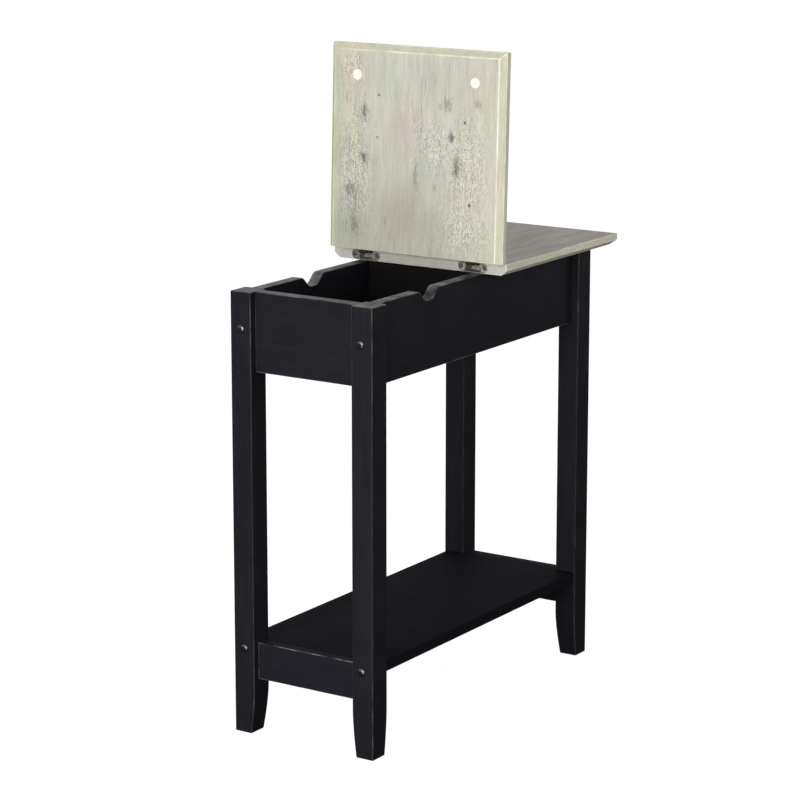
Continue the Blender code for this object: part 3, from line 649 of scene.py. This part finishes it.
def fade_wear_and_highlight(made, low_z, high_z, most=0.7, least=0.12):
    """Wear and painted highlight on the arrises are strongest near the feet and near the rim."""
    for at, wear_and_highlight in each_wear_and_highlight(made):
        from_middle = abs(2 * (at.z - low_z) / (high_z - low_z) - 1)
        wear_and_highlight.value *= most * (least + (1 - least) * from_middle ** 2)


def leg(node, sx, sy):
    """Square leg with plumb outer faces; the two inner faces curve in over the foot."""
    low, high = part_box(node)
    outer_x, inner_x = (high.x, low.x) if sx > 0 else (low.x, high.x)
    outer_y, inner_y = (high.y, low.y) if sy > 0 else (low.y, high.y)
    levels = [FOOT_H * (k / FOOT_STEPS) ** STEP_SPREAD for k in range(FOOT_STEPS + 1)]
    rings = []
    for z in levels + RINGS_ABOVE + [high.z]:
        cut = FOOT_IN * max(0.0, 1 - z / FOOT_H) ** FOOT_BEND
        x, y = inner_x + sx * cut, inner_y + sy * cut
        rings.append(((outer_x, outer_y, z), (x, outer_y, z), (x, y, z), (outer_x, y, z)))
    bm = skinned(rings)
    eased(bm, LEG_ARRIS, 3, [e for e in bm.edges if e.calc_face_angle() > SQUARE])
    made = settle(to_object(node + "_painted", bm), BLACK_UP)
    fade_wear_and_highlight(made, low.z, high.z)
    paint_rim_highlight(made, RIM_HIGHLIGHT.get(node, LEG_RIM_HIGHLIGHT))
    stands_for(made, "base", "black_lacquer", node)


for end, sy in ENDS:
    for side, sx in SIDES:
        leg("leg_%s_%s" % (end, side), sx, sy)


# ---------------- side rails
NOTCH_FORWARD = 0.128                                # from the middle of the frame
NOTCH_HALF, NOTCH_FLAT, NOTCH_DEPTH = 0.027, 0.005, 0.014
NOTCH_STEPS = 28
RAIL_ARRIS = 0.0012
DOWEL_R, DOWEL_BACK = 0.0053, 0.030
BOLT_UPPER = 0.5495                                  # height of the upper bolts
PAST = 0.004                                         # how far a cutter starts outside the wood


def side_rail(node, sx):
    """Long board with a bell-shaped finger notch in its upper edge."""
    low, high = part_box(node)
    middle = (LEG_FRONT[0].y + LEG_REAR[1].y) / 2 - NOTCH_FORWARD
    outline = [(low.y, low.z), (high.y, low.z), (high.y, high.z)]
    for side in (1, -1):
        for k in range(NOTCH_STEPS + 1):
            t = k / NOTCH_STEPS if side > 0 else 1 - k / NOTCH_STEPS
            from_middle = NOTCH_HALF - (NOTCH_HALF - NOTCH_FLAT) * t
            down = NOTCH_DEPTH * 0.5 * (1 - math.cos(math.pi * t))
            outline.append((middle + side * from_middle, high.z - down))
    bm = prism(outline + [(low.y, high.z)], "x", low.x, high.x)
    rim = [e for e in bm.edges if abs(e.verts[0].co.x - e.verts[1].co.x) < 1e-6]
    eased(bm, RAIL_ARRIS, 3, rim)
    inner, outer = (low.x, high.x) if sx > 0 else (high.x, low.x)
    holes = [rod((inner - sx * PAST, y, BOLT_UPPER), (outer - sx * RAIL_ARRIS, y, BOLT_UPPER),
                 DOWEL_R) for y in (low.y + DOWEL_BACK, high.y - DOWEL_BACK)]
    made = settle(less(to_object(node + "_painted", bm), holes), BLACK_LONG)
    for at, wear_and_highlight in each_wear_and_highlight(made):                 # the notch's faces are painted lighter, a painted highlight
        inside = low.x + 1e-4 < at.x < high.x - 1e-4
        if inside and abs(at.y - middle) < NOTCH_HALF and at.z > high.z - NOTCH_DEPTH - TINY:
            wear_and_highlight.value = NOTCH_HIGHLIGHT
    paint_rim_highlight(made, RIM_HIGHLIGHT[node])
    stands_for(made, "base", "black_lacquer", node)


for side, sx in SIDES:
    side_rail("side_rail_" + side, sx)


# ---------------- aprons, stretchers and shelf
TENON = 0.0097
APRON_ARRIS, STRETCHER_ARRIS, SHELF_ARRIS = 0.0013, 0.0012, 0.0014
SHELF_GAP = 0.0003
SHELF_DOWEL_X = 0.0935


def crosspiece(node, arris, material):
    """Board between two legs; its tenons are inside them."""
    low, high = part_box(node)
    bm = eased(block((low.x + TENON, low.y, low.z), (high.x - TENON, high.y, high.z)), arris)
    made = settle(to_object(node + "_painted", bm), material)
    if node in RIM_HIGHLIGHT:
        paint_rim_highlight(made, RIM_HIGHLIGHT[node])
    stands_for(made, "base", "black_lacquer", node)


for end, _ in ENDS:
    crosspiece("apron_" + end, APRON_ARRIS, BLACK_ACROSS)
    crosspiece("stretcher_" + end, STRETCHER_ARRIS, BLACK_STRETCHER)


def shelf(node):
    """Board whose corners are let in round the legs."""
    low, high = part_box(node)
    x, xt = high.x, LEG_FRONT[0].x - SHELF_GAP
    y0, y1 = LEG_FRONT[1].y + SHELF_GAP, LEG_REAR[0].y - SHELF_GAP
    outline = [(-x, y0), (-xt, y0), (-xt, low.y), (xt, low.y), (xt, y0), (x, y0),
               (x, y1), (xt, y1), (xt, high.y), (-xt, high.y), (-xt, y1), (-x, y1)]
    bm = prism(outline, "z", low.z, high.z)
    eased(bm, SHELF_ARRIS, 3, [e for e in bm.edges if e.calc_length() > 0.1
                               and min(abs(v.co.x) for v in e.verts) > x - 1e-6])
    holes = [rod((sx * SHELF_DOWEL_X, y, low.z - PAST),
                 (sx * SHELF_DOWEL_X, y, high.z - SHELF_ARRIS), DOWEL_R)
             for _, sx in SIDES for y in (y0 + DOWEL_BACK, y1 - DOWEL_BACK)]
    made = settle(less(to_object(node + "_painted", bm), holes), BLACK_SHELF)
    stands_for(made, "base", "black_lacquer", node)


shelf("shelf")


# ---------------- the two halves of the top
TOP_T, UNDER_AXIS = 0.016, 0.0005
UNDER = -UNDER_AXIS - TOP_T                          # the top's lower face, from the axis
MIDDLE = -UNDER_AXIS - TOP_T / 2
UNDERCUT_W, UNDERCUT_H = 0.0085, 0.0070
TOP_ARRIS = 0.0013
HALF_SLIT = 0.0005
LID_L = 0.280
CLEAR = 0.0003
HINGE_X, SCREW_OUT = 0.086, 0.0185                   # a hinge's middle, and its screws from there
PLATE_L, PLATE_H, PLATE_T = 0.0460, 0.0138, 0.0022
CUP_HALF, CUP_DEPTH = 0.0120, 0.0140
BUMPER_X, BUMPER_ALONG, BUMPER_R, BUMPER_IN = 0.0935, 0.238, 0.0075, 0.0010
top_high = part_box("fixed_top")[1]


def half_board(s, y_far):
    """Board square at the joint and undercut below on its three free edges."""
    rings = []
    for z, inset in ((-UNDER_AXIS, 0.0), (UNDER + UNDERCUT_H, 0.0), (UNDER, UNDERCUT_W)):
        x, y0, y = top_high.x - inset, s * HALF_SLIT, y_far - s * inset
        rings.append(((-x, y0, z), (x, y0, z), (x, y, z), (-x, y, z)))
    return eased(skinned(rings), TOP_ARRIS)


def round_ended(length, height, steps=12):
    """The outline of a hinge's face plate, a slot with half-round ends."""
    r = height / 2
    turns = [math.pi * k / steps for k in range(steps + 1)]
    points = [(length / 2 - r + r * math.sin(t), -r * math.cos(t)) for t in turns]
    return points + [(-x, -y) for x, y in points]


def hinge_mortises(s):
    """Cutters for both hinges' recesses in one joint face. s points into the wood."""
    face, cutters = s * HALF_SLIT, []
    for _, sx in SIDES:
        x = sx * HINGE_X
        outline = [(x + p, MIDDLE + q)
                   for p, q in round_ended(PLATE_L + 2 * CLEAR, PLATE_H + 2 * CLEAR)]
        near, far = sorted((face - s * PAST, face + s * (PLATE_T + CLEAR)))
        cutters.append(prism(outline, "y", near, far))
        near, far = sorted((face - s * PAST, face + s * (CUP_DEPTH + CLEAR)))
        wide, deep = CUP_HALF + CLEAR, PLATE_H / 2 + CLEAR
        cutters.append(block((x - wide, near, MIDDLE - deep), (x + wide, far, MIDDLE + deep)))
    return cutters


def mark_undercut(made):
    """Stores 1 on the sloping faces under the free edges."""
    values = [float(f.normal.z < -0.3 and max(abs(f.normal.x), abs(f.normal.y)) > 0.3
                    and f.area > 1e-5) for f in made.data.polygons]
    made.data.attributes.new("undercut", "FLOAT", "FACE").data.foreach_set("value", values)


def half_of_top(name, node, body, s, y_far, material, move, seats=()):
    """One finished half, shaped about the axis and then moved to where it is at rest."""
    made = to_object(name, half_board(s, y_far))
    settle(less(made, hinge_mortises(s) + list(seats)), material)
    mark_undercut(made)
    made.data.transform(move)
    stands_for(made, body, "grey_oak_top", node)


bumper_y = -HALF_SLIT - BUMPER_ALONG
bumper_seats = [rod((sx * BUMPER_X, bumper_y, UNDER - PAST / 2),
                    (sx * BUMPER_X, bumper_y, UNDER + BUMPER_IN), BUMPER_R + CLEAR, 40)
                for _, sx in SIDES]
half_of_top("fixed_half", "fixed_top", "base", 1, top_high.y - AXIS.y, TOP_FIXED, TO_AXIS)
half_of_top("lid_board", "lid", "lid", -1, -HALF_SLIT - LID_L, TOP_LID, SHUT_TO_OPEN, bumper_seats)


# ---------------- turned hardware
def turned_tree(name, profile, recess):
    """Sets one turned head with its shank at every point, facing along the point's own direction.
    The profile is the head's radius and height, as shares, from its underside to its crown."""
    w = Effect(name, {
        "Places": "NodeSocketGeometry", "Head Radius": 0.005, "Head Height": 0.002, "Sides": 40,
        "Shank Radius": 0.002, "Shank Length": 0.02, "Recess Width": 0.001,
        "Recess Length": 0.006, "Recess Depth": 0.001, "Finish": "NodeSocketMaterial",
        "Seed": 4}, {"Geometry": "NodeSocketGeometry"}, "GeometryNodeTree")
    i = w.given
    steps = len(profile) - 1

    def cylinder(**values):
        named = {label.replace("_", " "): value for label, value in values.items()}
        return w.put("GeometryNodeMeshCylinder", named, fill_type="NGON").outputs["Mesh"]

    def lifted(mesh, z):
        return w.put("GeometryNodeTransform",
                     {"Geometry": mesh, "Translation": w.xyz(z=z)}).outputs[0]

    def joined(operation, last, **meshes):
        """A boolean of the meshes with one more, which is linked after them."""
        named = {label.replace("_", " "): mesh for label, mesh in meshes.items()}
        made = w.put("GeometryNodeMeshBoolean", named, operation=operation, solver="EXACT")
        w.feed(made.inputs["Mesh 2"], last)
        return made.outputs["Mesh"]

    # a plain cylinder of radius 1, from -0.5 to 0.5, is pulled to the profile level by level
    x, y, z = w.put("ShaderNodeSeparateXYZ",
                    {0: w.put("GeometryNodeInputPosition").outputs[0]}).outputs
    level = w.plus(z, 0.5)

    def shape(which):
        curve = w.put("ShaderNodeFloatCurve", {"Value": level})
        line = curve.mapping.curves[0]
        line.points[0].location = (0.0, profile[0][which])
        line.points[1].location = (1.0, profile[-1][which])
        for k in range(1, steps):
            line.points.new(k / steps, profile[k][which])
        for p in line.points:
            p.handle_type = "VECTOR"
        curve.mapping.update()
        return curve.outputs[0]

    across = w.times(shape(0), i["Head Radius"])
    at = w.xyz(w.times(x, across), w.times(y, across), w.times(shape(1), i["Head Height"]))
    blank = cylinder(Vertices=i["Sides"], Side_Segments=steps, Radius=1.0, Depth=1.0)
    head = w.put("GeometryNodeSetPosition", {"Geometry": blank, "Position": at}).outputs[0]
    shank = cylinder(Vertices=20, Radius=i["Shank Radius"], Depth=i["Shank Length"])
    lift = w.plus(w.times(i["Shank Length"], -0.5), w.times(i["Head Height"], 0.3))
    solid = joined("UNION", lifted(shank, lift), Mesh_2=head)
    if recess:
        deep = w.times(i["Recess Depth"], 2.0)
        if recess == "slot":
            size = w.xyz(i["Recess Length"], i["Recess Width"], deep)
            cutter = w.put("GeometryNodeMeshCube", {"Size": size}).outputs["Mesh"]
        else:
            cutter = cylinder(Vertices=6, Radius=i["Recess Width"], Depth=deep)
        solid = joined("DIFFERENCE", lifted(cutter, i["Head Height"]), Mesh_1=solid)

    facing = w.put("GeometryNodeInputNamedAttribute", {"Name": "facing"},
                   data_type="FLOAT_VECTOR").outputs[0]
    aim = w.put("FunctionNodeAlignRotationToVector", {"Vector": facing}, axis="Z").outputs[0]
    twist = w.put("FunctionNodeRandomValue", {"Min": 0.0, "Max": 6.28, "Seed": i["Seed"]},
                  data_type="FLOAT")
    angle = next(o for o in twist.outputs if o.enabled)
    spin = w.put("FunctionNodeAxisAngleToRotation", {"Axis": (0, 0, 1), "Angle": angle}).outputs[0]
    turned = w.put("FunctionNodeRotateRotation", {0: aim, 1: spin}, rotation_space="LOCAL")
    placed = w.put("GeometryNodeInstanceOnPoints", {
        "Points": i["Places"], "Instance": solid, "Rotation": turned.outputs[0]}).outputs[0]
    real = w.put("GeometryNodeRealizeInstances", {"Geometry": placed}).outputs[0]
    return w.done(Geometry=w.put("GeometryNodeSetMaterial", {
        "Geometry": real, "Material": i["Finish"]}).outputs[0])


def set_out(name, tree, places, material, values, body, slot, nodes):
    """Makes one piece of turned hardware at the places, each a point and the way it faces."""
    mesh = bpy.data.meshes.new(name)
    mesh.from_pydata([p for p, _ in places], [], [])
    ways = [c for _, way in places for c in Vector(way).normalized()]
    mesh.attributes.new("facing", "FLOAT_VECTOR", "POINT").data.foreach_set("vector", ways)
    made = bpy.data.objects.new(name, mesh)
    bpy.context.scene.collection.objects.link(made)
    modifier = made.modifiers.new("set_out", "NODES")
    modifier.node_group = tree
    names = {s.name: s.identifier for s in tree.interface.items_tree if s.in_out == "INPUT"}
    for label, value in dict(values, Finish=material).items():
        modifier[names[label]] = value
    settle(applied(made), material, SMOOTH_METAL)
    stands_for(made, body, slot, *nodes)


BUTTON = ((0.96, 0.0), (1.0, 0.05), (1.0, 0.22), (0.985, 0.36), (0.93, 0.55), (0.83, 0.73),
          (0.68, 0.88), (0.50, 0.97), (0.42, 1.0))
OVAL = ((0.60, 0.0), (0.74, 0.25), (0.88, 0.50), (1.0, 0.72), (1.0, 0.80), (0.88, 0.88),
        (0.70, 0.94), (0.45, 0.98), (0.30, 1.0))
PAN = ((0.97, 0.0), (1.0, 0.06), (1.0, 0.35), (0.97, 0.55), (0.90, 0.72), (0.78, 0.86),
       (0.62, 0.95), (0.45, 0.99), (0.35, 1.0))
BUTTON_TREE = turned_tree("button_head_bolts", BUTTON, "hex")
OVAL_TREE = turned_tree("oval_head_screws", OVAL, "slot")
DISC_TREE = turned_tree("soft_discs", PAN, None)

BOLT_HEAD_H = 0.0026
CLEAT_HEAD_H = 0.0022
SCREW_SEAT = 0.0011                                  # from the joint face to under a screw's head
BUMPER_LIFT = 0.0007


def nodes_named(start):
    """The names of the solids that begin so, in order."""
    return sorted(n for n in frame["nodes"] if n.startswith(start))


places = []
for node in nodes_named("bolt_"):
    low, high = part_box(node)
    sy = 1 if "_rear_" in node else -1
    head = high.y if sy > 0 else low.y
    places.append((((low.x + high.x) / 2, head - sy * BOLT_HEAD_H, (low.z + high.z) / 2),
                   (0, sy, 0)))
set_out("frame_bolts", BUTTON_TREE, places, BLACK_BOLT,
        {"Head Radius": 0.0055, "Head Height": BOLT_HEAD_H, "Shank Radius": 0.0030,
         "Shank Length": 0.0738, "Recess Width": 0.0020, "Recess Depth": 0.0016, "Seed": 3},
        "base", "black_bolt", nodes_named("bolt_"))

for half, s, body, move in (("fixed", 1, "base", TO_AXIS), ("lid", -1, "lid", SHUT_TO_OPEN)):
    way = move.to_3x3() @ Vector((0, -s, 0))
    places = [(move @ Vector((sx * HINGE_X + k * SCREW_OUT, s * (HALF_SLIT + SCREW_SEAT), MIDDLE)),
               way) for _, sx in SIDES for k in (-1, 1)]
    set_out("hinge_screws_" + half, OVAL_TREE, places, STEEL,
            {"Head Radius": 0.0031, "Head Height": 0.00115, "Shank Radius": 0.0014,
             "Shank Length": 0.0125, "Recess Width": 0.0008, "Recess Length": 0.0080,
             "Recess Depth": 0.00055, "Seed": 6 + s}, body, "screw_steel",
            ["hinge_screw_%s_%s_%s" % (half, side, k) for side, _ in SIDES for k in "ab"])

places = []
for node in nodes_named("cleat_screw_"):
    low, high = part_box(node)
    places.append((((low.x + high.x) / 2, (low.y + high.y) / 2, low.z + CLEAT_HEAD_H),
                   (0, 0, -1)))
set_out("top_cleat_screws", OVAL_TREE, places, STEEL,
        {"Head Radius": 0.0036, "Head Height": CLEAT_HEAD_H, "Shank Radius": 0.0016,
         "Shank Length": 0.0222, "Recess Width": 0.0009, "Recess Length": 0.0090,
         "Recess Depth": 0.0009, "Seed": 11}, "base", "screw_steel", nodes_named("cleat_screw_"))

places = [(SHUT_TO_OPEN @ Vector((sx * BUMPER_X, bumper_y, UNDER + BUMPER_LIFT)),
           LID_TURN @ Vector((0, 0, -1))) for _, sx in SIDES]
set_out("lid_bumpers", DISC_TREE, places, BUMPER,
        {"Head Radius": BUMPER_R, "Head Height": 0.0019, "Sides": 56, "Shank Radius": 0.004,
         "Shank Length": 0.0006, "Seed": 1}, "lid", "white_bumper",
        ["bumper_left", "bumper_right"])


# ---------------- hinge leaves
LEAF_ARRIS = 0.0005


def leaf(node, body, s, move):
    """The leaf's own mesh, merged, with the rim of its face plate eased."""
    bm = bmesh.new()
    bm.from_mesh(frame["nodes"][node].data)
    bmesh.ops.remove_doubles(bm, verts=bm.verts, dist=2e-6)
    bmesh.ops.transform(bm, matrix=move.inverted(), verts=bm.verts)
    bmesh.ops.dissolve_limit(bm, angle_limit=math.radians(2), verts=bm.verts, edges=bm.edges)
    centre = math.copysign(HINGE_X, sum(v.co.x for v in bm.verts))

    def on_rim(v):
        past_straight = abs(v.co.x - centre) - (PLATE_L - PLATE_H) / 2
        out = math.hypot(max(past_straight, 0.0), v.co.z - MIDDLE)
        return abs(v.co.y - s * HALF_SLIT) < 2e-5 and abs(out - PLATE_H / 2) < 2e-4

    rim = [e for e in bm.edges if len(e.link_faces) == 2 and all(on_rim(v) for v in e.verts)]
    eased(bm, LEAF_ARRIS, 2, rim)
    bmesh.ops.transform(bm, matrix=move, verts=bm.verts)
    made = settle(to_object(node + "_plate", bm), BRONZE, SMOOTH_METAL)
    stands_for(made, body, "hinge_bronze", node)


for side, _ in SIDES:
    leaf("hinge_leaf_fixed_" + side, "base", 1, TO_AXIS)
    leaf("hinge_leaf_lid_" + side, "lid", -1, SHUT_TO_OPEN)


# ---------------- parts that only get a finish
for start, material, slot in (("box_", BLACK_INNER, "black_inner"),
                              ("floor_cleat_", BLACK_INNER, "black_inner"),
                              ("top_cleat_", BLACK_INNER, "black_inner"),
                              ("link_", LINKS, "hinge_links"),
                              ("cross_dowel_", ZINC, "zinc_nut")):
    for node in nodes_named(start):
        made = frame["nodes"][node]
        made.data.materials.clear()
        made.data.materials.append(material)


# ---------------- floor, light and camera
WHITE = (1, 1, 1, 1)


def floor(half_size=30.0):
    bm = bmesh.new()
    bmesh.ops.create_grid(bm, x_segments=2, y_segments=2, size=half_size)
    made = to_object("studio_floor", bm)
    material = bpy.data.materials.new("pale_floor")
    material.use_nodes = True
    w = Wiring(material.node_tree)
    w.tree.nodes.clear()
    seen = w.put("ShaderNodeLightPath").outputs["Is Camera Ray"]
    lit = w.put("ShaderNodeBsdfDiffuse", {"Color": (0.86, 0.86, 0.85, 1)}).outputs[0]
    glow = w.put("ShaderNodeEmission", {"Color": WHITE, "Strength": 1.20}).outputs[0]
    mixed = w.put("ShaderNodeMixShader", {0: w.times(seen, 0.80), 1: lit, 2: glow}).outputs[0]
    w.put("ShaderNodeOutputMaterial", {"Surface": mixed})
    made.data.materials.append(material)
    made.visible_glossy = False


def surroundings():
    """White behind the table, soft light all round, and reflections that darken to the floor."""
    world = bpy.data.worlds.new("studio")
    bpy.context.scene.world = world
    world.use_nodes = True
    w = Wiring(world.node_tree)
    w.tree.nodes.clear()
    path = w.put("ShaderNodeLightPath").outputs
    way = w.put("ShaderNodeTexCoord").outputs["Generated"]
    up = w.put("ShaderNodeSeparateXYZ", {0: way}).outputs[2]
    wall = w.between(up, 0.02, 0.14, 0.02, 0.75)
    strength = w.plus(path["Is Camera Ray"], w.times(path["Is Diffuse Ray"], 0.34),
                      w.times(path["Is Glossy Ray"], wall))
    sky = w.put("ShaderNodeBackground", {"Color": WHITE, "Strength": strength}).outputs[0]
    w.put("ShaderNodeOutputWorld", {"Surface": sky})


def place_in_scene(made, at, ahead):
    made.location = at
    made.rotation_euler = ahead.to_track_quat("-Z", "Y").to_euler()
    bpy.context.scene.collection.objects.link(made)


def soft_box(name, at, aim, size, power):
    """A rectangular light, its power in watts."""
    light = bpy.data.lights.new(name, "AREA")
    light.shape, light.size, light.size_y, light.energy = "RECTANGLE", size[0], size[1], power
    place_in_scene(bpy.data.objects.new(name, light), at, Vector(aim) - Vector(at))


def camera(at, azimuth, elevation, lens, shift_y):
    """Looks back along the azimuth, which turns from -Y towards +X, and down by the elevation."""
    data = bpy.data.cameras.new("camera")
    data.lens, data.sensor_width, data.shift_y = lens, 36.0, shift_y
    made = bpy.data.objects.new("camera", data)
    level = math.cos(elevation)
    place_in_scene(made, at, Vector((-math.sin(azimuth) * level, math.cos(azimuth) * level,
                                     -math.sin(elevation))))
    bpy.context.scene.camera = made


floor()
surroundings()
TABLE, FEET = (0, 0, 0.5), (0.05, -0.25, 0.02)
soft_box("key", (0.35, -3.1, 1.15), TABLE, size=(1.8, 1.6), power=78)
soft_box("overhead", (-0.6, 0.9, 2.5), TABLE, size=(1.6, 1.4), power=18)
soft_box("right_fill", (2.8, -0.6, 1.3), TABLE, size=(1.2, 1.6), power=7)
soft_box("rear_fill", (1.6, 2.6, 1.3), (0, 0, 0.4), size=(1.4, 1.4), power=12)
soft_box("low_fill", (0.25, -1.05, 0.10), FEET, size=(0.6, 0.15), power=1.6)
camera((2.06535, -3.20108, 1.28345), azimuth=math.radians(33.301),
       elevation=math.radians(12.088), lens=128.33, shift_y=-0.05)
bpy.context.scene.view_settings.view_transform = "Standard"
